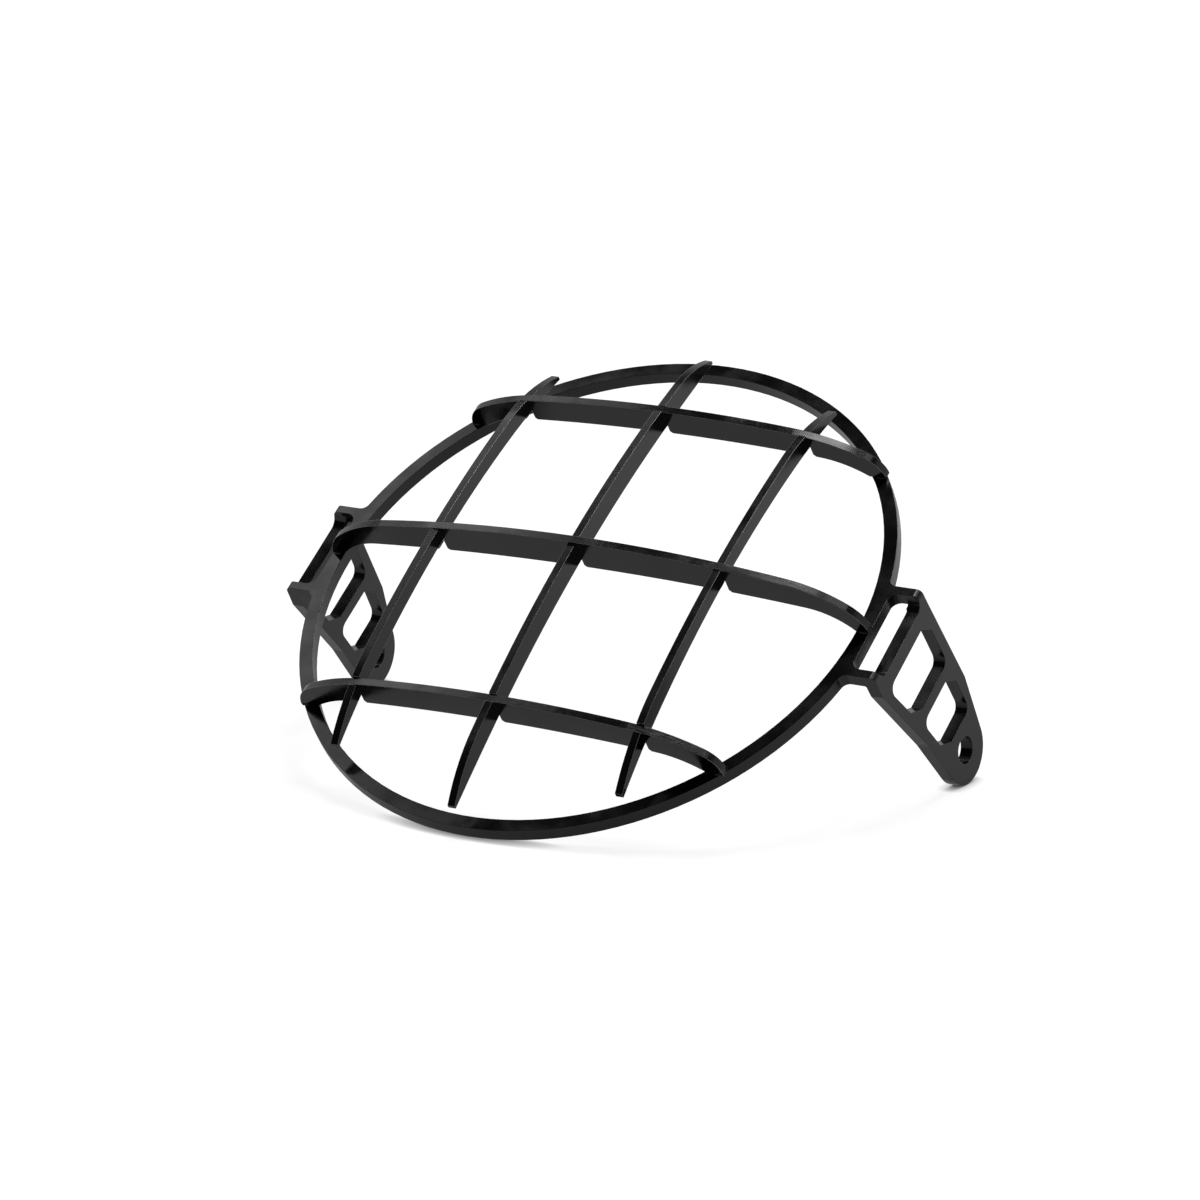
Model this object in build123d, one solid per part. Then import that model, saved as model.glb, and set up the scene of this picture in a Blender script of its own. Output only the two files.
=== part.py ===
from build123d import *
import math
import os

os.makedirs("parts", exist_ok=True)

# Ring and ears, one folded plate
PLATE_T = 4.0
RING_R_OUT = 93.25
RIM_W = 4.25
RING_R_IN = RING_R_OUT - RIM_W
NECK_HALF_W = 17.4
NECK_W = 2.8
NECK_ROOT_R = 2.5
EAR_STANDOFF = 8.75
EAR_FACE_X = RING_R_OUT + EAR_STANDOFF
EAR_LEAN_DEG = 4.3
FOLD_R_OUT = 1.8
FOLD_R_IN = 0.5
FOLD_END_D = 5.0
SLOT_HALF_W = NECK_HALF_W - NECK_W
SLOT_CORNER_R = 3.0
SLOT_FLOOR_D = 4.1
SLOT_FLOOR_R = 3.6
EAR_TIP_Y = 4.4
EAR_TIP_D = 55.8
EAR_TIP_R = 10.5
EAR_NEAR_D = 8.0
EAR_KNEE_D = 38.5
EAR_KNEE_FAR_Y = 18.2
EAR_KNEE_NEAR_Y = -9.2
BOLT_HOLE_D = 8.4

# Two windows in each ear, with a web of plate above, between and below them
WINDOW_CORNER_R = 3.0
WINDOW_CUT_CORNER = 4.2
WINDOW_WEB = 3.8
SLOT_WEB = 5.0
TIP_WEB = 8.0
UPPER_WINDOW_L = 18.4
UPPER_WINDOW_TOP = SLOT_FLOOR_D + SLOT_WEB
UPPER_WINDOW_BOTTOM = UPPER_WINDOW_TOP + UPPER_WINDOW_L
LOWER_WINDOW_TOP = UPPER_WINDOW_BOTTOM + WINDOW_WEB
LOWER_WINDOW_BOTTOM = EAR_TIP_D - TIP_WEB
FAR_BORDER = 3.45
WINDOW_FAR_Y = NECK_HALF_W - FAR_BORDER
UPPER_WINDOW_NEAR_TOP_Y = -13.7
UPPER_WINDOW_NEAR_BOTTOM_Y = -8.5
LOWER_WINDOW_NEAR_TOP_Y = -6.9
LOWER_WINDOW_NEAR_BOTTOM_Y = -3.5

# Bars, all cut from one sheet thickness
BAR_T = 2.5
JOINT_GAP = 0.05
MOUTH_CHAMFER = 0.8
CROSS_BAR_SHARE = 0.6263
UPRIGHT_SHARE = 0.5228
CROSS_BAR_Y = RING_R_OUT * CROSS_BAR_SHARE
UPRIGHT_X = RING_R_OUT * UPRIGHT_SHARE

# Middle cross bar, its feet as wide as the rim
CROSS_MID_FRONT_H = 21.9
CROSS_MID_FRONT_R = 435.0
CROSS_MID_REAR_H = 11.25
CROSS_MID_REAR_R = 725.0
FOOT_INSET = 0.05
CROSS_MID_FOOT_OUT = RING_R_OUT - FOOT_INSET
CROSS_MID_FOOT_IN = RING_R_IN + FOOT_INSET
CROSS_MID_FRONT_END_L = 23.2
CROSS_MID_REAR_END_L = 18.6
CROSS_MID_NOSE_L = 5.2
CROSS_MID_NOSE_H = 8.5
CROSS_MID_FRONT_TURN = CROSS_MID_FOOT_OUT - CROSS_MID_FRONT_END_L
CROSS_MID_REAR_TURN = CROSS_MID_FOOT_OUT - CROSS_MID_REAR_END_L

# Outer cross bars, their feet on the slant of the rim
CROSS_OUT_FRONT_H = 16.9
CROSS_OUT_FRONT_R = 420.0
CROSS_OUT_REAR_H = 7.9
CROSS_OUT_REAR_R = 600.0
CROSS_OUT_FOOT_OUT = math.sqrt(RING_R_OUT ** 2 - CROSS_BAR_Y ** 2) + FOOT_INSET
CROSS_OUT_FOOT_IN = math.sqrt(RING_R_IN ** 2 - CROSS_BAR_Y ** 2) - FOOT_INSET
CROSS_OUT_FRONT_END_L = 27.75
CROSS_OUT_REAR_END_L = 21.0
CROSS_OUT_NOSE_L = 5.25
CROSS_OUT_NOSE_H = 7.8
CROSS_OUT_FRONT_TURN = CROSS_OUT_FOOT_OUT - CROSS_OUT_FRONT_END_L
CROSS_OUT_REAR_TURN = CROSS_OUT_FOOT_OUT - CROSS_OUT_REAR_END_L

# Middle upright: its lower tip ends over the rim and its upper tip inside it
TIP_OVERHANG = 2.6
TIP_SHORTFALL = 1.4
UPRIGHT_MID_FRONT_H = 21.0
UPRIGHT_MID_FRONT_R = 450.0
UPRIGHT_MID_REAR_H = 14.35
UPRIGHT_MID_REAR_R = 497.0
UPRIGHT_MID_END_L = 18.5
UPRIGHT_MID_TAPER_L = 29.0
UPRIGHT_MID_FRONT_TURN = RING_R_IN - UPRIGHT_MID_END_L
UPRIGHT_MID_REAR_TURN = RING_R_IN - UPRIGHT_MID_TAPER_L
UPRIGHT_MID_LOW_TIP = RING_R_IN + TIP_OVERHANG
UPRIGHT_MID_LOW_TIP_H = 6.3
UPRIGHT_MID_TOP_TIP = RING_R_IN - TIP_SHORTFALL
UPRIGHT_MID_TOP_TIP_H = 7.1
UPRIGHT_MID_TIP_T = 0.95

# Outer uprights: their lower tips end over the rim and their upper tips at its inner edge
UPRIGHT_OUT_FRONT_H = 18.8
UPRIGHT_OUT_FRONT_R = 456.0
UPRIGHT_OUT_REAR_H = 14.25
UPRIGHT_OUT_REAR_R = 373.0
UPRIGHT_OUT_END_L = 27.9
UPRIGHT_OUT_TOP_TIP = math.sqrt(RING_R_IN ** 2 - UPRIGHT_X ** 2)
UPRIGHT_OUT_TURN = UPRIGHT_OUT_TOP_TIP - UPRIGHT_OUT_END_L
UPRIGHT_OUT_LOW_TIP = UPRIGHT_OUT_TOP_TIP + TIP_OVERHANG
UPRIGHT_OUT_LOW_TIP_H = 5.5
UPRIGHT_OUT_TOP_TIP_H = 5.9
UPRIGHT_OUT_TIP_T = 1.25


# Height of a bar edge above the ring face, middle arc only
def arc_height(top, radius, s):
    return top - radius + math.sqrt(radius * radius - s * s)


# Arc that leaves a point at a downward slope and reaches an end point, with its slope there
def tangent_arc(start, slope, end):
    nx, nz = -math.sin(slope), -math.cos(slope)
    dx, dz = end[0] - start[0], end[1] - start[1]
    rho = (dx * dx + dz * dz) / (2 * (dx * nx + dz * nz))
    cx, cz = start[0] + rho * nx, start[1] + rho * nz
    a0 = math.atan2(start[1] - cz, start[0] - cx)
    a1 = math.atan2(end[1] - cz, end[0] - cx)
    am = (a0 + a1) / 2
    middle = (cx + abs(rho) * math.cos(am), cz + abs(rho) * math.sin(am))
    end_slope = math.atan2((end[0] - cx) / rho, (end[1] - cz) / rho)
    return (start, middle, end), (cx, cz, rho), end_slope


# Arcs that carry an edge from the end of its middle arc through its named points
def end_arcs(edge):
    top, radius, turn, stations = edge
    start, slope = (turn, arc_height(top, radius, turn)), math.asin(turn / radius)
    arcs = []
    for station in stations:
        points, circle, slope = tangent_arc(start, slope, station)
        arcs.append((points, circle))
        start = station
    return arcs


# Height of an edge made of a middle arc and its end arcs
def edge_height(edge, s):
    top, radius, turn, _ = edge
    s = abs(s)
    if s <= turn:
        return arc_height(top, radius, s)
    arcs = end_arcs(edge)
    cx, cz, rho = next((circle for points, circle in arcs if s <= points[2][0]), arcs[-1][1])
    return cz + math.copysign(math.sqrt(rho * rho - (s - cx) * (s - cx)), rho)


# Flat bar outline: front edge, two ends and rear edge, given for its left and its right half
def bar_face(left_edges, right_edges):
    edges = []
    for side, (front, rear) in ((-1, left_edges), (1, right_edges)):

        def put(p):
            return (side * p[0], p[1])

        for edge in (front, rear):
            for points, _ in end_arcs(edge):
                edges.append(ThreePointArc(*[put(p) for p in points]))
        edges.append(Line(put(front[3][-1]), put(rear[3][-1])))
    for left, right in zip(left_edges, right_edges):
        ends = [(-left[2], edge_height(left, left[2])), (right[2], edge_height(right, right[2]))]
        edges.append(ThreePointArc(ends[0], (0, left[0]), ends[1]))
    return make_face(Wire.combine(edges)[0])


CROSS_MID_EDGES = (
    (CROSS_MID_FRONT_H, CROSS_MID_FRONT_R, CROSS_MID_FRONT_TURN,
     ((CROSS_MID_FOOT_OUT - CROSS_MID_NOSE_L, CROSS_MID_NOSE_H), (CROSS_MID_FOOT_OUT, 0.0))),
    (CROSS_MID_REAR_H, CROSS_MID_REAR_R, CROSS_MID_REAR_TURN, ((CROSS_MID_FOOT_IN, 0.0),)),
)
CROSS_OUT_EDGES = (
    (CROSS_OUT_FRONT_H, CROSS_OUT_FRONT_R, CROSS_OUT_FRONT_TURN,
     ((CROSS_OUT_FOOT_OUT - CROSS_OUT_NOSE_L, CROSS_OUT_NOSE_H), (CROSS_OUT_FOOT_OUT, 0.0))),
    (CROSS_OUT_REAR_H, CROSS_OUT_REAR_R, CROSS_OUT_REAR_TURN, ((CROSS_OUT_FOOT_IN, 0.0),)),
)


# Front and rear edge of one half of an upright, with its tip at the given reach and height
def upright_edges(x, y):
    if x:
        tip_s, tip_h = ((UPRIGHT_OUT_LOW_TIP, UPRIGHT_OUT_LOW_TIP_H) if y < 0
                        else (UPRIGHT_OUT_TOP_TIP, UPRIGHT_OUT_TOP_TIP_H))
        return ((UPRIGHT_OUT_FRONT_H, UPRIGHT_OUT_FRONT_R, UPRIGHT_OUT_TURN,
                 ((tip_s, tip_h + UPRIGHT_OUT_TIP_T),)),
                (UPRIGHT_OUT_REAR_H, UPRIGHT_OUT_REAR_R, UPRIGHT_OUT_TURN, ((tip_s, tip_h),)))
    tip_s, tip_h = ((UPRIGHT_MID_LOW_TIP, UPRIGHT_MID_LOW_TIP_H) if y < 0
                    else (UPRIGHT_MID_TOP_TIP, UPRIGHT_MID_TOP_TIP_H))
    return ((UPRIGHT_MID_FRONT_H, UPRIGHT_MID_FRONT_R, UPRIGHT_MID_FRONT_TURN,
             ((tip_s, tip_h + UPRIGHT_MID_TIP_T),)),
            (UPRIGHT_MID_REAR_H, UPRIGHT_MID_REAR_R, UPRIGHT_MID_REAR_TURN, ((tip_s, tip_h),)))


# Level where a cross bar and an upright meet inside their halved joint
def joint_height(x, y):
    cross_front = (CROSS_OUT_EDGES if y else CROSS_MID_EDGES)[0]
    upright_front, upright_rear = upright_edges(x, y)
    front = min(edge_height(cross_front, x), edge_height(upright_front, y))
    return (front + edge_height(upright_rear, y)) / 2


# Cross bar: three slots open to the rear, with chamfered mouths
def cross_bar(y):
    front, rear = CROSS_OUT_EDGES if y else CROSS_MID_EDGES
    face = bar_face((front, rear), (front, rear))
    half = BAR_T / 2 + JOINT_GAP
    for x in (-UPRIGHT_X, 0.0, UPRIGHT_X):
        top = joint_height(x, y)
        low = edge_height(rear, x) - MOUTH_CHAMFER
        wide = half + MOUTH_CHAMFER
        mouth_l = edge_height(rear, x - half)
        mouth_r = edge_height(rear, x + half)
        slot = Polyline(
            (x - half, top), (x + half, top), (x + half, mouth_r + MOUTH_CHAMFER), (x + wide, mouth_r),
            (x + wide, low - MOUTH_CHAMFER), (x - wide, low - MOUTH_CHAMFER), (x - wide, mouth_l),
            (x - half, mouth_l + MOUTH_CHAMFER), close=True)
        face -= make_face(slot)
    plane = Plane(origin=(0, y + BAR_T / 2, 0), x_dir=(1, 0, 0), z_dir=(0, -1, 0))
    return extrude(plane * face, BAR_T)


# Upright: three notches open to the front
def upright(x):
    lower, upper = upright_edges(x, -1), upright_edges(x, 1)
    face = bar_face(lower, upper)
    half = BAR_T / 2 + JOINT_GAP
    for y in (-CROSS_BAR_Y, 0.0, CROSS_BAR_Y):
        low = joint_height(x, y)
        high = upper[0][0] + BAR_T
        notch = Polyline((y - half, low), (y + half, low), (y + half, high), (y - half, high), close=True)
        face -= make_face(notch)
    plane = Plane(origin=(x - BAR_T / 2, 0, 0), x_dir=(0, 1, 0), z_dir=(1, 0, 0))
    return extrude(plane * face, BAR_T)


LEAN = math.radians(EAR_LEAN_DEG)

# Outer face of the right ear: first axis runs up the ring, second runs down the ear
EAR_PLANE = Plane(origin=(EAR_FACE_X, 0, 0), x_dir=(0, 1, 0),
                  z_dir=(-math.cos(LEAN), 0, -math.sin(LEAN)))


# Point on the ear outline, d measured down the ear from the level of the ring face
def ear_point(y, d):
    return (y, EAR_PLANE.to_local_coords(Vector(EAR_FACE_X + d * math.sin(LEAN), y,
                                                -d * math.cos(LEAN))).Y)


# Where a line from a point touches the round end of the ear
def touch_point(y, d, side):
    vy, vd = EAR_TIP_Y - y, EAR_TIP_D - d
    dist = math.hypot(vy, vd)
    turn = math.asin(EAR_TIP_R / dist)
    length = dist * math.cos(turn)
    ang = math.atan2(vy, vd) + side * turn
    return y + length * math.sin(ang), d + length * math.cos(ang)


# Ear outline below the fold
def ear_face():
    far_knee = (EAR_KNEE_FAR_Y, EAR_KNEE_D)
    near_knee = (EAR_KNEE_NEAR_Y, EAR_KNEE_D)
    far_touch = touch_point(*far_knee, 1)
    near_touch = touch_point(*near_knee, -1)
    tip = (EAR_TIP_Y, EAR_TIP_D + EAR_TIP_R)
    sides = [(NECK_HALF_W, FOLD_END_D), far_knee, far_touch]
    returns = [near_touch, near_knee, (-NECK_HALF_W, EAR_NEAR_D), (-NECK_HALF_W, FOLD_END_D), sides[0]]
    edges = [Line(ear_point(*a), ear_point(*b)) for a, b in zip(sides, sides[1:])]
    edges.append(ThreePointArc(ear_point(*far_touch), ear_point(*tip), ear_point(*near_touch)))
    edges += [Line(ear_point(*a), ear_point(*b)) for a, b in zip(returns, returns[1:])]
    return make_face(Wire(edges))


# Four-sided window with two rounded and two cut corners
def window_face(top, bottom, near_top_y, near_bottom_y):
    corners = [(near_top_y, top), (WINDOW_FAR_Y, top), (WINDOW_FAR_Y, bottom), (near_bottom_y, bottom)]
    outline = make_face(Polyline(*[ear_point(*c) for c in corners], close=True))
    verts = outline.vertices()

    def nearest(c):
        px, py = ear_point(*c)
        return min(verts, key=lambda v: math.hypot(v.X - px, v.Y - py))

    cut = [nearest(corners[1]), nearest(corners[3])]
    outline = chamfer(cut, WINDOW_CUT_CORNER)
    verts = outline.vertices()
    rounds = [nearest(corners[0]), nearest(corners[2])]
    return fillet(rounds, WINDOW_CORNER_R)


# Section through the necks and the fold, seen along the ring face
def fold_face(ring_grip):
    across = (math.sin(LEAN), -math.cos(LEAN))
    inward = (-math.cos(LEAN), -math.sin(LEAN))
    end_out = (EAR_FACE_X + FOLD_END_D * across[0], FOLD_END_D * across[1])
    end_in = (end_out[0] + PLATE_T * inward[0], end_out[1] + PLATE_T * inward[1])
    inner_s = PLATE_T * (1 - math.sin(LEAN)) / math.cos(LEAN)
    corner_in = (EAR_FACE_X + PLATE_T * inward[0] + inner_s * across[0], -PLATE_T)
    section = make_face(Polyline(
        (ring_grip, 0), (EAR_FACE_X, 0), end_out, end_in, corner_in, (ring_grip, -PLATE_T), close=True))
    for corner, radius in (((EAR_FACE_X, 0), FOLD_R_OUT), (corner_in, FOLD_R_IN)):
        at = min(section.vertices(), key=lambda v: math.hypot(v.X - corner[0], v.Y - corner[1]))
        section = fillet(at, radius)
    return section


# Slot between the two necks: from the ring over the fold and down into the ear
def neck_slot():
    inner_x = EAR_FACE_X - PLATE_T / math.cos(LEAN)
    lean_x = PLATE_T * math.tan(LEAN)
    section = make_face(Polyline((RING_R_OUT, PLATE_T), (inner_x - lean_x, PLATE_T),
                                 (inner_x + lean_x, -PLATE_T), (RING_R_OUT, -PLATE_T), close=True))
    slot_plane = Plane(origin=(0, SLOT_HALF_W, 0), x_dir=(1, 0, 0), z_dir=(0, -1, 0))
    flat = extrude(slot_plane * section, 2 * SLOT_HALF_W)
    flat = fillet(flat.edges().filter_by(Axis.Z).group_by(Axis.X)[0], SLOT_CORNER_R)
    low = ear_point(0, SLOT_FLOOR_D)[1]
    high = ear_point(0, -PLATE_T)[1]
    deep = Pos(0, (low + high) / 2, PLATE_T / 2) * Box(2 * SLOT_HALF_W, abs(high - low), 2 * PLATE_T)
    floor_y = deep.edges().filter_by(Axis.Z).group_by(Axis.Y)
    deep = fillet(floor_y[-1] if low > high else floor_y[0], SLOT_FLOOR_R)
    return flat + EAR_PLANE * deep


# One ear with its two necks and its fold, on the right-hand side
def ear():
    ring_grip = (RING_R_OUT + RING_R_IN) / 2
    neck_plane = Plane(origin=(0, NECK_HALF_W, 0), x_dir=(1, 0, 0), z_dir=(0, -1, 0))
    necks = extrude(neck_plane * fold_face(ring_grip), 2 * NECK_HALF_W)
    body = necks + extrude(EAR_PLANE * ear_face(), PLATE_T)
    for window in (
        (UPPER_WINDOW_TOP, UPPER_WINDOW_BOTTOM, UPPER_WINDOW_NEAR_TOP_Y, UPPER_WINDOW_NEAR_BOTTOM_Y),
        (LOWER_WINDOW_TOP, LOWER_WINDOW_BOTTOM, LOWER_WINDOW_NEAR_TOP_Y, LOWER_WINDOW_NEAR_BOTTOM_Y),
    ):
        body -= extrude(EAR_PLANE * window_face(*window), 3 * PLATE_T, both=True)
    hole_y, hole_z = ear_point(EAR_TIP_Y, EAR_TIP_D)
    body -= EAR_PLANE * (Pos(hole_y, hole_z, PLATE_T / 2) * Cylinder(BOLT_HOLE_D / 2, 3 * PLATE_T))
    return body


# Ring with two ears, cut from one plate and folded
def ring_with_ears():
    ring = Pos(0, 0, -PLATE_T / 2) * (Cylinder(RING_R_OUT, PLATE_T) - Cylinder(RING_R_IN, 2 * PLATE_T))
    body, slot = ear(), neck_slot()
    plate = ring + body + mirror(body, about=Plane.YZ)
    reach = math.sqrt(RING_R_OUT ** 2 - NECK_HALF_W ** 2)

    def is_root(edge):
        c = edge.center()
        return abs(abs(c.X) - reach) < BAR_T / 5 and abs(abs(c.Y) - NECK_HALF_W) < BAR_T / 5

    roots = [e for e in plate.edges().filter_by(Axis.Z) if is_root(e)]
    plate = fillet(roots, NECK_ROOT_R)
    plate = plate - slot - mirror(slot, about=Plane.YZ)
    return plate


# Angle that lays the guard on the low edge of the ring and on both ear tips
def lean_back():
    rise = PLATE_T / math.cos(LEAN) - EAR_TIP_D - PLATE_T * math.tan(LEAN)
    run = EAR_TIP_Y + RING_R_OUT
    slope = math.tan(math.atan2(rise, run) - math.asin(EAR_TIP_R / math.hypot(rise, run)))
    return -math.degrees(math.atan(slope * math.cos(LEAN)))


pieces = {
    "ring_with_ears": ring_with_ears(),
    "cross_bar_top": cross_bar(CROSS_BAR_Y),
    "cross_bar_middle": cross_bar(0.0),
    "cross_bar_bottom": cross_bar(-CROSS_BAR_Y),
    "upright_left": upright(-UPRIGHT_X),
    "upright_middle": upright(0.0),
    "upright_right": upright(UPRIGHT_X),
}

tilt = Rot(lean_back(), 0, 0)
laid = {name: tilt * shape for name, shape in pieces.items()}
boxes = [shape.bounding_box() for shape in laid.values()]
mid_x = (min(b.min.X for b in boxes) + max(b.max.X for b in boxes)) / 2
mid_y = (min(b.min.Y for b in boxes) + max(b.max.Y for b in boxes)) / 2
floor = min(b.min.Z for b in boxes)
for name, shape in laid.items():
    export_step(Pos(-mid_x, -mid_y, -floor) * shape, "parts/" + name + ".step")
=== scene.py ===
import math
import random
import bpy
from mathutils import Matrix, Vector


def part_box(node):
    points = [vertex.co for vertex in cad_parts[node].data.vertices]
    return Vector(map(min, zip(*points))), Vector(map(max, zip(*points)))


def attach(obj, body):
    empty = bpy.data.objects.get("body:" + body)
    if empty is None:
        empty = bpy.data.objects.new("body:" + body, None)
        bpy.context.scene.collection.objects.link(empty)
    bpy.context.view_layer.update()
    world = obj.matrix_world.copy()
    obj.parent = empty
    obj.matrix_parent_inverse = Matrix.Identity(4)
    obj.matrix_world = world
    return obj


bl_info = {
    "name": "Headlight Guard Finish",
    "version": (1, 0, 0),
    "blender": (4, 5, 0),
    "location": "3D View > Sidebar > Guard",
    "description": "Coats a headlight guard, tacks its bars to the ring and sets it in a plain studio",
    "category": "Object",
}

import bmesh
import bpy
from mathutils import Matrix, Vector

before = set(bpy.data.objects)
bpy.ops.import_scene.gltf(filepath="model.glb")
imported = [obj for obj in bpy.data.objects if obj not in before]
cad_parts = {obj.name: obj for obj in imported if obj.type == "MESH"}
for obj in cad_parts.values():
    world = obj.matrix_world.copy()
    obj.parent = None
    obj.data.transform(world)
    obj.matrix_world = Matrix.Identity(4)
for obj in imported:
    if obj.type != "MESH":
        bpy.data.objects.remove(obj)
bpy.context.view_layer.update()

MM = 0.001
RING_NODE = "ring_with_ears"
CROSS_BARS = ("cross_bar_top", "cross_bar_middle", "cross_bar_bottom")
UPRIGHTS = ("upright_left", "upright_middle", "upright_right")

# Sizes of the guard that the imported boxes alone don't give
RING_RADIUS = 93.25 * MM
PLATE_THICKNESS = 4.0 * MM
BAR_THICKNESS = 2.5 * MM
LEAN_BACK = math.radians(33.446)

# The guard lies on a flat floor at this height
FLOOR_LEVEL = 0.0


# Middle of the ring's front face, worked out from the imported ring
def ring_centre():
    low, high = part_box(RING_NODE)
    y = high.y - RING_RADIUS * math.cos(LEAN_BACK) - PLATE_THICKNESS * math.sin(LEAN_BACK)
    z = high.z - RING_RADIUS * math.sin(LEAN_BACK)
    return Vector(((low.x + high.x) / 2, y, z))


# Places things given flat on the ring's face onto the ring as it lies
def ring_matrix():
    return Matrix.Translation(ring_centre()) @ Matrix.Rotation(LEAN_BACK, 4, "X")


class CoatLook(bpy.types.PropertyGroup):
    """The black coat on the plate and the bars"""

    colour: bpy.props.FloatVectorProperty(
        name="Coat Colour", description="Colour of the cured coat", subtype="COLOR",
        size=3, min=0.0, max=1.0, default=(0.0022, 0.0023, 0.0025))
    # Painted highlight and real dust: the crests and dragged streaks of the cutter's lines and the dust
    # specks are lifted towards this colour
    sheen_and_dust_colour: bpy.props.FloatVectorProperty(
        name="Thin Coat Colour", description="Colour where the coat is thin over a cutter's line or a speck",
        subtype="COLOR", size=3, min=0.0, max=1.0, default=(0.030, 0.030, 0.032))
    roughness: bpy.props.FloatProperty(
        name="Roughness", description="How satin the coat is", min=0.0, max=1.0, default=0.16)
    specular: bpy.props.FloatProperty(
        name="Specular", description="How strongly the coat mirrors what is around it",
        min=0.0, max=1.0, default=0.5)
    arris_radius: bpy.props.FloatProperty(
        name="Arris Radius", description="How far the coat rounds each sharp edge",
        subtype="DISTANCE", unit="LENGTH", min=0.0, default=0.26 * MM)
    # Painted highlight: each arris is mixed towards this pale colour and made partly metal, so that it shows
    # a bright line
    arris_sheen_colour: bpy.props.FloatVectorProperty(
        name="Arris Colour", description="Colour of the metal that gleams through at an arris",
        subtype="COLOR", size=3, min=0.0, max=1.0, default=(0.48, 0.48, 0.50))
    arris_sheen_metal: bpy.props.FloatProperty(
        name="Arris Metal", description="How much metal gleams through where the coat thins over an arris",
        min=0.0, max=1.0, default=0.8)
    grain_size: bpy.props.FloatProperty(
        name="Grain Size", description="Spacing of the coat's fine orange peel",
        subtype="DISTANCE", unit="LENGTH", min=0.0001, default=0.55 * MM)
    cut_line_pitch: bpy.props.FloatProperty(
        name="Cut Line Pitch", description="Spacing of the cutter's lines under the coat on cut edges",
        subtype="DISTANCE", unit="LENGTH", min=0.0001, default=0.62 * MM)


class WeldSizes(bpy.types.PropertyGroup):
    """The small tack welds at the feet of the cross bars"""

    bead_radius: bpy.props.FloatProperty(
        name="Bead Radius", description="Half the length of one bead along the foot",
        subtype="DISTANCE", unit="LENGTH", min=0.0, default=0.62 * MM)
    bead_height: bpy.props.FloatProperty(
        name="Bead Height", description="How far a bead stands up the side of the bar",
        subtype="DISTANCE", unit="LENGTH", min=0.0, default=0.55 * MM)
    bead_step: bpy.props.FloatProperty(
        name="Bead Step", description="Distance from one bead to the next",
        subtype="DISTANCE", unit="LENGTH", min=0.0, default=0.78 * MM)
    bead_count: bpy.props.IntProperty(
        name="Bead Count", description="Beads along each side of one foot", min=1, default=3)
    seed: bpy.props.IntProperty(
        name="Seed", description="Picks how uneven the beads are", min=0, default=7)


class StudioSizes(bpy.types.PropertyGroup):
    """The floor, the light and the camera"""

    floor_size: bpy.props.FloatProperty(
        name="Floor Size", description="Side of the square floor",
        subtype="DISTANCE", unit="LENGTH", min=1.0, default=9.0)
    floor_colour: bpy.props.FloatVectorProperty(
        name="Floor Colour", description="Colour of the pale floor", subtype="COLOR",
        size=3, min=0.0, max=1.0, default=(0.35, 0.35, 0.35))
    floor_glow: bpy.props.FloatProperty(
        name="Floor Glow", description="Light added to the floor where it is seen, so that it looks white",
        min=0.0, max=1.0, default=0.86)
    near_glow: bpy.props.FloatProperty(
        name="Near Glow", description="Light added to the floor under the guard where the coat mirrors it",
        min=0.0, default=0.26)
    mirrored_glow: bpy.props.FloatProperty(
        name="Mirrored Glow", description="Light added to the far floor where the coat mirrors it",
        min=0.0, default=0.43)
    wall_light: bpy.props.FloatProperty(
        name="Wall Light", description="Brightness of the studio's pale walls", min=0.0, default=0.50)
    ceiling_light: bpy.props.FloatProperty(
        name="Ceiling Light", description="Brightness of the ceiling and of the dark side behind the camera",
        min=0.0, default=0.03)
    camera_distance: bpy.props.FloatProperty(
        name="Camera Distance", description="From the camera to the point that it looks at",
        subtype="DISTANCE", unit="LENGTH", min=0.1, default=1.50133)
    camera_azimuth: bpy.props.FloatProperty(
        name="Camera Azimuth", description="Turn of the camera to the right of the guard's front",
        subtype="ANGLE", default=math.radians(31.633))
    camera_elevation: bpy.props.FloatProperty(
        name="Camera Elevation", description="How far the camera looks down",
        subtype="ANGLE", default=math.radians(16.077))
    camera_roll: bpy.props.FloatProperty(
        name="Camera Roll", description="Turn of the camera about its own line of sight",
        subtype="ANGLE", default=math.radians(-1.040))
    camera_lens: bpy.props.FloatProperty(
        name="Camera Lens", description="Focal length in millimetres on a 36 mm sensor",
        min=10.0, default=150.0)


# Gives inputs of a node a value each, or what another node's socket puts out
def feed(tree, node, inputs):
    for name, value in inputs.items():
        if isinstance(value, bpy.types.NodeSocket):
            tree.links.new(value, node.inputs[name])
        else:
            node.inputs[name].default_value = value


# Adds a node, places it on the node sheet and feeds its inputs
def add_node(tree, kind, at, inputs=None, **settings):
    node = tree.nodes.new(kind)
    node.location = at
    for name, value in settings.items():
        setattr(node, name, value)
    feed(tree, node, inputs or {})
    return node


# Adds a maths node whose inputs are numbers or sockets
def add_math(tree, operation, at, *inputs, clamp=False):
    feeds = dict(enumerate(inputs))
    return add_node(tree, "ShaderNodeMath", at, feeds, operation=operation, use_clamp=clamp).outputs[0]


# Adds a node that remaps a value between two ranges with soft ends
def add_soft_range(tree, value, low, high, out_low, out_high, at):
    inputs = {"Value": value, "From Min": low, "From Max": high, "To Min": out_low, "To Max": out_high}
    node = add_node(tree, "ShaderNodeMapRange", at, inputs, interpolation_type="SMOOTHSTEP", clamp=True)
    return node.outputs["Result"]


# Adds a noise pattern, with its scale in patches for each unit of the vector
def add_noise(tree, vector, scale, detail, at, roughness=0.5, dimensions="3D"):
    inputs = {"Vector": vector, "Scale": scale, "Detail": detail, "Roughness": roughness}
    node = add_node(tree, "ShaderNodeTexNoise", at, inputs, noise_dimensions=dimensions)
    return node.outputs["Fac"]


# Adds a node that goes from one colour to another
def add_mix(tree, factor, first, second, at):
    inputs = {"Factor": factor, "A": first, "B": second}
    return add_node(tree, "ShaderNodeMix", at, inputs, data_type="RGBA").outputs["Result"]


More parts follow.
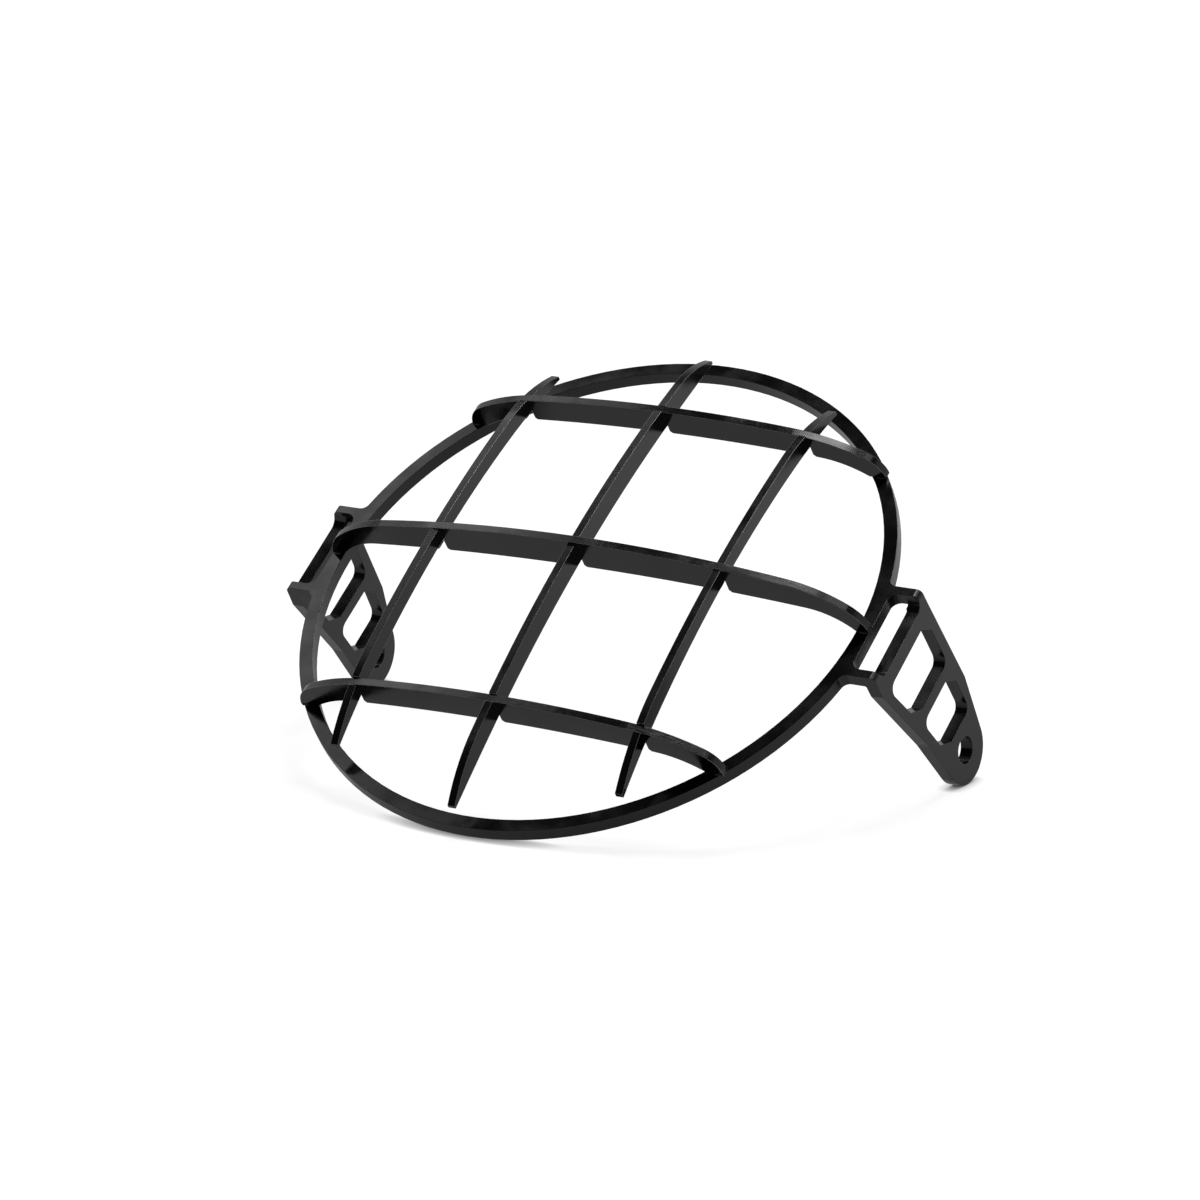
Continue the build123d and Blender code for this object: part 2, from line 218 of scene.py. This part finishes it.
# Adds a bump on top of the normal that it is given
def add_bump(tree, height, normal, strength, distance, at):
    inputs = {"Height": height, "Normal": normal, "Strength": strength, "Distance": distance}
    return add_node(tree, "ShaderNodeBump", at, inputs).outputs["Normal"]


# Splits a vector into its three parts
def split(tree, vector, at):
    return add_node(tree, "ShaderNodeSeparateXYZ", at, {"Vector": vector}).outputs


# Starts a material or a world on an empty node sheet
def empty_tree(owner):
    owner.use_nodes = True
    owner.node_tree.nodes.clear()
    return owner.node_tree


# Starts a shader node group with the given inputs and outputs
def new_group(name, inputs, outputs):
    group = bpy.data.node_groups.new(name, "ShaderNodeTree")
    for label, kind, default in inputs:
        socket = group.interface.new_socket(name=label, in_out="INPUT", socket_type=kind)
        socket.default_value = default
    for label, kind in outputs:
        group.interface.new_socket(name=label, in_out="OUTPUT", socket_type=kind)
    start = add_node(group, "NodeGroupInput", (-1200, 0))
    end = add_node(group, "NodeGroupOutput", (900, 0))
    return group, start.outputs, end


# Fine break-up of the orange peel
PEEL_DETAIL = 3.0
PEEL_ROUGHNESS = 0.55

# Patches per metre of the slow drift in gloss, and their break-up
DRIFT_SCALE = 90.0
DRIFT_DETAIL = 4.0

# Dust cells per metre, and the share of them that hold no speck
DUST_SCALE = 330.0
CLEAN_SHARE = 0.93

# Where a speck of dust is full and where it ends, as parts of its cell
SPECK_CORE = 0.04
SPECK_RIM = 0.12


# Fine orange peel of a sprayed coat, with a slower drift in gloss and a few specks
def orange_peel_group():
    group, given, end = new_group(
        "orange_peel",
        [("Position", "NodeSocketVector", (0, 0, 0)), ("Grain Size", "NodeSocketFloat", 0.5 * MM)],
        [("Height", "NodeSocketFloat"), ("Gloss Drift", "NodeSocketFloat"), ("Dust", "NodeSocketFloat")])
    position = given["Position"]
    scale = add_math(group, "DIVIDE", (-950, 200), 1.0, given["Grain Size"])
    peel = add_noise(group, position, scale, PEEL_DETAIL, (-650, 250), roughness=PEEL_ROUGHNESS)
    drift = add_noise(group, position, DRIFT_SCALE, DRIFT_DETAIL, (-650, 0))
    dust = add_node(group, "ShaderNodeTexVoronoi", (-650, -250),
                    {"Vector": position, "Scale": DUST_SCALE}, feature="F1")
    pick = add_node(group, "ShaderNodeSeparateColor", (-450, -350), {"Color": dust.outputs["Color"]})
    rare = add_math(group, "GREATER_THAN", (-250, -350), pick.outputs["Red"], CLEAN_SHARE)
    near = add_soft_range(group, dust.outputs["Distance"], SPECK_CORE, SPECK_RIM, 1.0, 0.0, (-250, -150))
    speck = add_math(group, "MULTIPLY", (0, -250), rare, near)
    feed(group, end, {"Height": peel, "Gloss Drift": drift, "Dust": speck})
    return group


# Rays that feel for an arris at each point
ARRIS_SAMPLES = 16

# How alike the rounded and the flat normal are on a full arris and off it
ON_ARRIS = 0.80
OFF_ARRIS = 0.985


# Mask of the arrises, from how far a rounded edge turns the surface
def arris_group():
    group, given, end = new_group(
        "rounded_arris",
        [("Radius", "NodeSocketFloat", 0.2 * MM)],
        [("Normal", "NodeSocketVector"), ("Mask", "NodeSocketFloat")])
    bevel = add_node(group, "ShaderNodeBevel", (-650, 150),
                     {"Radius": given["Radius"]}, samples=ARRIS_SAMPLES)
    rounded = bevel.outputs["Normal"]
    surface = add_node(group, "ShaderNodeNewGeometry", (-650, -100))
    same = add_node(group, "ShaderNodeVectorMath", (-350, 0),
                    {0: rounded, 1: surface.outputs["Normal"]}, operation="DOT_PRODUCT")
    mask = add_soft_range(group, same.outputs["Value"], ON_ARRIS, OFF_ARRIS, 1.0, 0.0, (-100, 0))
    feed(group, end, {"Normal": rounded, "Mask": mask})
    return group


# How the cutter's lines wander: patches per metre, break-up, and reach in line pitches
WANDER_SCALE = 240.0
WANDER_DETAIL = 2.0
WANDER_REACH = 3.0

# Patches per metre where the lines come and go, and their break-up
PATCH_SCALE = 45.0
PATCH_DETAIL = 3.0

# Noise at which the lines start and are full, and how strong they are at their faintest
PATCH_START = 0.42
PATCH_FULL = 0.66
FAINTEST_LINE = 0.12

# Part of a line's height from which its crest glints
CREST_START = 0.55

# Length and width of the streaks that a cutter drags along a cut edge, and their break-up
STREAK_LENGTH = 7.0 * MM
STREAK_WIDTH = 0.42 * MM
STREAK_DETAIL = 2.0

# Noise at which a streak starts and is full
STREAK_START = 0.50
STREAK_FULL = 0.68


# Lines that a cutter leaves across a cut edge, and streaks that it drags along the edge
def cut_line_group():
    group, given, end = new_group(
        "cut_lines",
        [("Along", "NodeSocketFloat", 0.0), ("Across", "NodeSocketFloat", 0.0),
         ("Position", "NodeSocketVector", (0, 0, 0)),
         ("Pitch", "NodeSocketFloat", 0.6 * MM), ("Edge Mask", "NodeSocketFloat", 1.0),
         ("Drag", "NodeSocketFloat", 1.0)],
        [("Height", "NodeSocketFloat"), ("Glint", "NodeSocketFloat")])
    turns = add_math(group, "DIVIDE", (-950, 200), given["Along"], given["Pitch"])
    wander = add_noise(group, given["Position"], WANDER_SCALE, WANDER_DETAIL, (-950, -50))
    push = add_math(group, "MULTIPLY", (-700, -50), wander, WANDER_REACH)
    phase = add_math(group, "ADD", (-500, 100), turns, push)
    wave = add_math(group, "SINE", (-300, 100), add_math(group, "MULTIPLY", (-400, 200), phase, math.tau))
    patchy = add_noise(group, given["Position"], PATCH_SCALE, PATCH_DETAIL, (-700, -300))
    strength = add_soft_range(group, patchy, PATCH_START, PATCH_FULL, FAINTEST_LINE, 1.0, (-400, -300))
    masked = add_math(group, "MULTIPLY", (-150, -200), strength, given["Edge Mask"])
    height = add_math(group, "MULTIPLY", (100, 100), wave, masked)
    crest = add_soft_range(group, wave, CREST_START, 1.0, 0.0, 1.0, (-100, -50))
    glint = add_math(group, "MULTIPLY", (150, -100), crest, masked)
    stretched = add_node(group, "ShaderNodeCombineXYZ", (-950, -550), {
        "X": add_math(group, "MULTIPLY", (-1100, -500), given["Along"], 1 / STREAK_LENGTH),
        "Y": add_math(group, "MULTIPLY", (-1100, -650), given["Across"], 1 / STREAK_WIDTH)})
    streak = add_noise(group, stretched.outputs["Vector"], 1.0, STREAK_DETAIL, (-700, -550), dimensions="2D")
    drag = add_soft_range(group, streak, STREAK_START, STREAK_FULL, 0.0, 1.0, (-400, -550))
    drag = add_math(group, "MULTIPLY", (-150, -550), drag, given["Edge Mask"])
    drag = add_math(group, "MULTIPLY", (0, -550), drag, given["Drag"])
    feed(group, end, {
        "Height": add_math(group, "ADD", (300, 100), height, drag),
        "Glint": add_math(group, "MAXIMUM", (300, -100), glint, drag)})
    return group


GROUP_MAKERS = {"orange_peel": orange_peel_group, "rounded_arris": arris_group, "cut_lines": cut_line_group}


# Places a shared group in a material, and builds it the first time that it is asked for
def use_group(tree, name, at, inputs):
    group = bpy.data.node_groups.get(name) or GROUP_MAKERS[name]()
    return add_node(tree, "ShaderNodeGroup", at, inputs, node_tree=group).outputs


# Rotates the material's coordinates onto the ring's own flat frame
def ring_coordinates(tree):
    coordinates = add_node(tree, "ShaderNodeTexCoord", (-1900, 0))
    shift = add_node(tree, "ShaderNodeMapping", (-1700, 0), {
        "Location": ring_centre(), "Rotation": (LEAN_BACK, 0, 0),
        "Vector": coordinates.outputs["Object"]}, vector_type="TEXTURE")
    surface = add_node(tree, "ShaderNodeNewGeometry", (-1900, -350))
    turn = add_node(tree, "ShaderNodeMapping", (-1700, -350), {
        "Rotation": (-LEAN_BACK, 0, 0), "Vector": surface.outputs["Normal"]}, vector_type="NORMAL")
    return shift.outputs["Vector"], turn.outputs["Vector"]


# Parts of a place that run along and across each piece's cut edge; the ring's edge runs round
EDGE_RUNS = {"round": (None, "Z"), "across": ("X", "Y"), "up": ("Y", "X")}

# How squarely a surface faces out of its sheet: cut edges lie below the first, flat faces past the second
CUT_FACING = 0.3
FLAT_FACING = 0.7

# How far a painted highlight lightens the coat on the crests and streaks of a cutter's lines, and how much
# thinner the coat looks on a speck of dust
LINE_GLINT_LIFT = 0.25
SPECK_THINNING = 0.3

# Noise between which the gloss drifts, and how far the roughness goes down and up with it
DRIFT_FROM = 0.3
DRIFT_TO = 0.7
GLOSSIER = 0.05
DULLER = 0.07

# Roughness that a cut edge adds
CUT_EDGE_DULLER = 0.04

# Strength and height of the orange peel and of the cutter's lines
PEEL_STRENGTH = 0.07
PEEL_HEIGHT = 0.04 * MM
LINE_STRENGTH = 0.4
LINE_HEIGHT = 0.03 * MM

# How strongly the cured coat bends light
COAT_IOR = 1.5


# Satin black coat on cut metal; drag is how deep its streaks are, gleam how strongly its arrises carry a
# painted highlight
def black_coat(name, look, run, drag, gleam):
    material = bpy.data.materials.new(name)
    tree = empty_tree(material)
    position, facing = ring_coordinates(tree)
    place = split(tree, position, (-1450, 100))
    facing = split(tree, facing, (-1450, -350))
    length, side = EDGE_RUNS[run]
    if length:
        along = place[length]
    else:
        angle = add_math(tree, "ARCTAN2", (-1200, 200), place["Y"], place["X"])
        along = add_math(tree, "MULTIPLY", (-1000, 200), angle, RING_RADIUS)
    square = add_math(tree, "ABSOLUTE", (-1200, -350), facing[side])
    edge_mask = add_soft_range(tree, square, CUT_FACING, FLAT_FACING, 1.0, 0.0, (-1000, -350))

    peel = use_group(tree, "orange_peel", (-700, 300), {"Position": position, "Grain Size": look.grain_size})
    lines = use_group(tree, "cut_lines", (-700, 0), {
        "Along": along, "Across": place[side], "Position": position,
        "Pitch": look.cut_line_pitch, "Edge Mask": edge_mask, "Drag": drag})
    arris = use_group(tree, "rounded_arris", (-700, -300), {"Radius": look.arris_radius})

    # Painted highlight: the glint of the cutter's line crests and streaks lightens the colour, together with
    # real dust specks
    painted_line_glint = add_math(tree, "MULTIPLY", (-400, -80), lines["Glint"], LINE_GLINT_LIFT)
    thin_specks = add_math(tree, "MULTIPLY", (-400, 60), peel["Dust"], SPECK_THINNING)
    glint_and_specks = add_math(tree, "ADD", (-100, -200), painted_line_glint, thin_specks, clamp=True)
    # Painted highlight: the arris mask, scaled by gleam, mixes in the pale arris colour and metal
    arris_sheen = add_math(tree, "MULTIPLY", (-250, -550), arris["Mask"], gleam)
    sheen_metal = add_math(tree, "MULTIPLY", (-100, -450), arris_sheen, look.arris_sheen_metal)
    colour = add_mix(tree, glint_and_specks, (*look.colour, 1.0), (*look.sheen_and_dust_colour, 1.0), (150, 250))
    colour = add_mix(tree, arris_sheen, colour, (*look.arris_sheen_colour, 1.0), (350, 250))

    drift = add_soft_range(tree, peel["Gloss Drift"], DRIFT_FROM, DRIFT_TO,
                           look.roughness - GLOSSIER, look.roughness + DULLER, (-250, 450))
    cut_rough = add_math(tree, "MULTIPLY", (-250, 600), edge_mask, CUT_EDGE_DULLER)
    rough = add_math(tree, "ADD", (0, 450), drift, cut_rough)

    normal = add_bump(tree, peel["Height"], arris["Normal"], PEEL_STRENGTH, PEEL_HEIGHT, (150, -300))
    normal = add_bump(tree, lines["Height"], normal, LINE_STRENGTH, LINE_HEIGHT, (350, -300))
    coat = add_node(tree, "ShaderNodeBsdfPrincipled", (600, 0), {
        "Base Color": colour, "Metallic": sheen_metal, "Roughness": rough, "Normal": normal,
        "Specular IOR Level": look.specular, "IOR": COAT_IOR})
    add_node(tree, "ShaderNodeOutputMaterial", (900, 0), {"Surface": coat.outputs["BSDF"]})
    return material


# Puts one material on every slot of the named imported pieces
def dress_nodes(names, material):
    for name in names:
        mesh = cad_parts[name].data
        mesh.materials.clear()
        mesh.materials.append(material)


# Makes a finished piece from a bmesh, lying where its vertices say
def finish_piece(name, mesh_data, material):
    mesh = bpy.data.meshes.new(name)
    bmesh.ops.recalc_face_normals(mesh_data, faces=mesh_data.faces)
    mesh_data.to_mesh(mesh)
    mesh_data.free()
    mesh.shade_smooth()
    piece = bpy.data.objects.new(name, mesh)
    bpy.context.scene.collection.objects.link(piece)
    mesh.materials.append(material)
    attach(piece, "root")


class GUARD_OT_coat_ring(bpy.types.Operator):
    """Coat the ring and its two ears"""

    bl_idname = "guard.coat_ring"
    bl_label = "Coat Ring"

    def execute(self, context):
        look = context.scene.guard_coat
        dress_nodes([RING_NODE], black_coat("ring_coat", look, run="round", drag=0.1, gleam=0.25))
        return {"FINISHED"}


class GUARD_OT_coat_bars(bpy.types.Operator):
    """Coat the cross bars and the uprights"""

    bl_idname = "guard.coat_bars"
    bl_label = "Coat Bars"

    def execute(self, context):
        look = context.scene.guard_coat
        dress_nodes(CROSS_BARS, black_coat("cross_bar_coat", look, run="across", drag=0.55, gleam=1.0))
        dress_nodes(UPRIGHTS, black_coat("upright_coat", look, run="up", drag=0.2, gleam=1.0))
        return {"FINISHED"}


# Whether each cross bar stands above, at or below the ring's middle
BAR_SIDES = {"top": 1.0, "middle": 0.0, "bottom": -1.0}

# The first bead's place from the end of a foot, and half a bead's width, in bead radii
FIRST_BEAD = 1.3
BEAD_WIDTH = 0.8

# Sizes between which the beads are uneven
SMALL_BEAD = 0.8
LARGE_BEAD = 1.15

# How often a bead's ball is divided, and its radius before it is pressed
BALL_STEPS = 3
BALL_RADIUS = 1.0


# One bead of weld, a ball pressed flat and set on the ring's face
def add_bead(mesh_data, at, length, width, height):
    ball = bmesh.ops.create_icosphere(mesh_data, subdivisions=BALL_STEPS, radius=BALL_RADIUS)["verts"]
    bmesh.ops.scale(mesh_data, verts=ball, vec=(length, width, height))
    bmesh.ops.translate(mesh_data, verts=ball, vec=at)


# A row of uneven beads along both sides of one foot, flat on the ring's face
def add_tack_weld(sizes, chance, end, across, side):
    mesh_data = bmesh.new()
    for edge in (1, -1):
        y = across + edge * BAR_THICKNESS / 2
        for step in range(sizes.bead_count):
            inset = sizes.bead_radius * FIRST_BEAD + step * sizes.bead_step
            uneven = chance.uniform(SMALL_BEAD, LARGE_BEAD)
            at = (side * (end - inset), y, 0.0)
            width = sizes.bead_radius * BEAD_WIDTH * uneven
            add_bead(mesh_data, at, sizes.bead_radius * uneven, width, sizes.bead_height * uneven)
    return mesh_data


class GUARD_OT_tack_welds(bpy.types.Operator):
    """Tack both sides of every cross bar foot to the ring"""

    bl_idname = "guard.tack_welds"
    bl_label = "Tack Weld Feet"

    def execute(self, context):
        sizes = context.scene.guard_welds
        chance = random.Random(sizes.seed)
        material = bpy.data.materials["ring_coat"]
        place = ring_matrix()
        for bar in CROSS_BARS:
            low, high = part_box(bar)
            end = (high.x - low.x) / 2
            foot = place.inverted() @ Vector((end, (low.y + high.y) / 2, low.z))
            if abs(foot.y) > RING_RADIUS + PLATE_THICKNESS:
                raise RuntimeError(f"{bar} doesn't stand on the ring")
            level = bar.removeprefix("cross_bar_")
            across = BAR_SIDES[level] * math.sqrt(RING_RADIUS ** 2 - end ** 2)
            for side, word in ((1, "right"), (-1, "left")):
                mesh_data = add_tack_weld(sizes, chance, end, across, side)
                bmesh.ops.transform(mesh_data, verts=mesh_data.verts, matrix=place)
                finish_piece(f"tack_weld_{level}_{word}", mesh_data, material)
        return {"FINISHED"}


# The floor's mirrored glow starts to grow and is full at these distances from the guard's middle
GLOW_START = 0.13
GLOW_FULL = 0.35

# Past this distance the floor the camera sees is plain white
WHITE_FLOOR = 1.2

# How far the tight shadow reaches where the guard touches the floor, and the rays that feel for it
TOUCH_SHADOW = 3.5 * MM
TOUCH_SAMPLES = 16


# Pale floor that looks white to the camera and keeps the guard's shadow
def floor_material(sizes):
    material = bpy.data.materials.new("pale_floor")
    tree = empty_tree(material)
    matte = add_node(tree, "ShaderNodeBsdfDiffuse", (0, 100), {"Color": (*sizes.floor_colour, 1.0)})
    place = add_node(tree, "ShaderNodeTexCoord", (-1000, -300))
    distance = add_node(tree, "ShaderNodeVectorMath", (-800, -300),
                        {0: place.outputs["Object"]}, operation="LENGTH").outputs["Value"]
    path = add_node(tree, "ShaderNodeLightPath", (-800, 0)).outputs
    far = add_soft_range(tree, distance, GLOW_START, GLOW_FULL,
                         sizes.near_glow, sizes.mirrored_glow, (-600, -300))
    mirrored = add_math(tree, "MAXIMUM", (-600, -100), path["Is Glossy Ray"], path["Is Transmission Ray"])
    mirrored = add_math(tree, "MULTIPLY", (-400, -200), mirrored, far)
    white = add_soft_range(tree, distance, GLOW_FULL, WHITE_FLOOR, sizes.floor_glow, 1.0, (-600, 200))
    touch = add_node(tree, "ShaderNodeAmbientOcclusion", (-800, 400),
                     {"Distance": TOUCH_SHADOW}, samples=TOUCH_SAMPLES)
    white = add_math(tree, "MULTIPLY", (-500, 300), white, touch.outputs["AO"])
    seen = add_math(tree, "MULTIPLY", (-400, 0), path["Is Camera Ray"], white)
    strength = add_math(tree, "ADD", (-200, -100), seen, mirrored)
    glow = add_node(tree, "ShaderNodeEmission", (0, -100), {"Strength": strength})
    both = add_node(tree, "ShaderNodeAddShader", (300, 0), {
        0: matte.outputs["BSDF"], 1: glow.outputs["Emission"]})
    add_node(tree, "ShaderNodeOutputMaterial", (600, 0), {"Surface": both.outputs["Shader"]})
    return material


# Upward part of a direction where the pale walls end and where the ceiling is fully dark
WALL_TOP = 0.50
CEILING_START = 0.72

# Backward part of a direction where the dark side behind the camera ends and the walls are fully pale
DARK_SIDE_END = -0.55
PALE_SIDE_START = -0.10

WHITE = (1, 1, 1, 1)


# Pale walls at the sides and the back, dark above and behind the camera, which itself sees plain white
def studio_world(sizes):
    world = bpy.data.worlds.new("plain_studio")
    bpy.context.scene.world = world
    tree = empty_tree(world)
    way = add_node(tree, "ShaderNodeTexCoord", (-1100, 0))
    part = split(tree, way.outputs["Generated"], (-900, 0))
    low = add_soft_range(tree, part["Z"], WALL_TOP, CEILING_START, 1.0, 0.0, (-700, 100))
    back = add_soft_range(tree, part["Y"], DARK_SIDE_END, PALE_SIDE_START, 0.0, 1.0, (-700, -200))
    walls = add_math(tree, "MULTIPLY", (-450, 0), low, back)
    walls = add_math(tree, "MULTIPLY", (-300, 0), walls, sizes.wall_light)
    level = add_math(tree, "MAXIMUM", (-200, -150), walls, sizes.ceiling_light)
    room = add_node(tree, "ShaderNodeBackground", (0, 0), {"Color": WHITE, "Strength": level})
    white = add_node(tree, "ShaderNodeBackground", (0, -200), {"Color": WHITE, "Strength": 1.0})
    path = add_node(tree, "ShaderNodeLightPath", (0, 300))
    pick = add_node(tree, "ShaderNodeMixShader", (400, 0), {
        "Fac": path.outputs["Is Camera Ray"], 1: room.outputs["Background"], 2: white.outputs["Background"]})
    add_node(tree, "ShaderNodeOutputWorld", (900, 0), {"Surface": pick.outputs["Shader"]})


# Each softbox: its name, its place, the point that it faces, its width and height in metres, and its watts
SOFTBOXES = (
    ("left_softbox", (-1.30, 0.23, 1.55), (0, 0, 0.05), 1.25, 0.54, 3.4),
    ("top_softbox", (0.0, 0.25, 1.05), (0.0, 0.25, 0), 0.40, 0.50, 4.6),
    ("right_softbox", (0.60, 0.085, 1.15), (0.08, 0.015, 0.07), 0.35, 0.45, 0.8),
)


# Soft oblong lamp aimed at a point
def add_softbox(name, at, target, width, height, watts):
    lamp = bpy.data.lights.new(name, "AREA")
    lamp.shape = "RECTANGLE"
    lamp.size = width
    lamp.size_y = height
    lamp.energy = watts
    holder = bpy.data.objects.new(name, lamp)
    holder.location = at
    holder.rotation_euler = (Vector(target) - Vector(at)).to_track_quat("-Z", "Y").to_euler()
    bpy.context.scene.collection.objects.link(holder)


# Point that the camera looks at
LOOK_AT = Vector((-5.719, 12.484, 47.289)) * MM

# Width of the camera's sensor in millimetres, and how far it sees in metres
SENSOR_WIDTH = 36.0
VIEW_REACH = 50.0


# Camera at the photograph's angle, placed by its turn, tilt and distance
def add_camera(sizes):
    camera = bpy.data.cameras.new("photo_camera")
    camera.sensor_width = SENSOR_WIDTH
    camera.lens = sizes.camera_lens
    camera.clip_end = VIEW_REACH
    holder = bpy.data.objects.new("photo_camera", camera)
    level = math.cos(sizes.camera_elevation)
    back = Vector((math.sin(sizes.camera_azimuth) * level, -math.cos(sizes.camera_azimuth) * level,
                   math.sin(sizes.camera_elevation)))
    holder.location = LOOK_AT + back * sizes.camera_distance
    turn = (-back).to_track_quat("-Z", "Y").to_matrix().to_4x4()
    turn = turn @ Matrix.Rotation(sizes.camera_roll, 4, "Z")
    holder.rotation_euler = turn.to_euler()
    bpy.context.scene.collection.objects.link(holder)
    bpy.context.scene.camera = holder


class GUARD_OT_stage(bpy.types.Operator):
    """Set the floor, the studio light and the camera"""

    bl_idname = "guard.stage"
    bl_label = "Set Stage"

    def execute(self, context):
        sizes = context.scene.guard_studio
        mesh_data = bmesh.new()
        bmesh.ops.create_grid(mesh_data, x_segments=1, y_segments=1, size=sizes.floor_size / 2)
        mesh = bpy.data.meshes.new("floor")
        mesh_data.to_mesh(mesh)
        mesh_data.free()
        floor = bpy.data.objects.new("floor", mesh)
        floor.location.z = FLOOR_LEVEL
        context.scene.collection.objects.link(floor)
        mesh.materials.append(floor_material(sizes))
        studio_world(sizes)
        for softbox in SOFTBOXES:
            add_softbox(*softbox)
        add_camera(sizes)
        context.scene.view_settings.view_transform = "Standard"
        return {"FINISHED"}


class GUARD_PT_panel(bpy.types.Panel):
    """Lists the steps that finish the guard"""

    bl_idname = "GUARD_PT_panel"
    bl_label = "Headlight Guard"
    bl_space_type = "VIEW_3D"
    bl_region_type = "UI"
    bl_category = "Guard"

    def draw(self, context):
        scene = context.scene
        for group, kind in ((scene.guard_coat, CoatLook), (scene.guard_welds, WeldSizes),
                            (scene.guard_studio, StudioSizes)):
            box = self.layout.box()
            for name in kind.__annotations__:
                box.prop(group, name)
        for step in STEPS:
            self.layout.operator(step.bl_idname)


STEPS = (GUARD_OT_coat_ring, GUARD_OT_coat_bars, GUARD_OT_tack_welds, GUARD_OT_stage)
CLASSES = (CoatLook, WeldSizes, StudioSizes, *STEPS, GUARD_PT_panel)


def register():
    for kind in CLASSES:
        bpy.utils.register_class(kind)
    bpy.types.Scene.guard_coat = bpy.props.PointerProperty(type=CoatLook)
    bpy.types.Scene.guard_welds = bpy.props.PointerProperty(type=WeldSizes)
    bpy.types.Scene.guard_studio = bpy.props.PointerProperty(type=StudioSizes)


def unregister():
    del bpy.types.Scene.guard_studio
    del bpy.types.Scene.guard_welds
    del bpy.types.Scene.guard_coat
    for kind in reversed(CLASSES):
        bpy.utils.unregister_class(kind)


def main():
    register()
    bpy.ops.guard.coat_ring()
    bpy.ops.guard.coat_bars()
    bpy.ops.guard.tack_welds()
    bpy.ops.guard.stage()


if __name__ == "__main__":
    main()
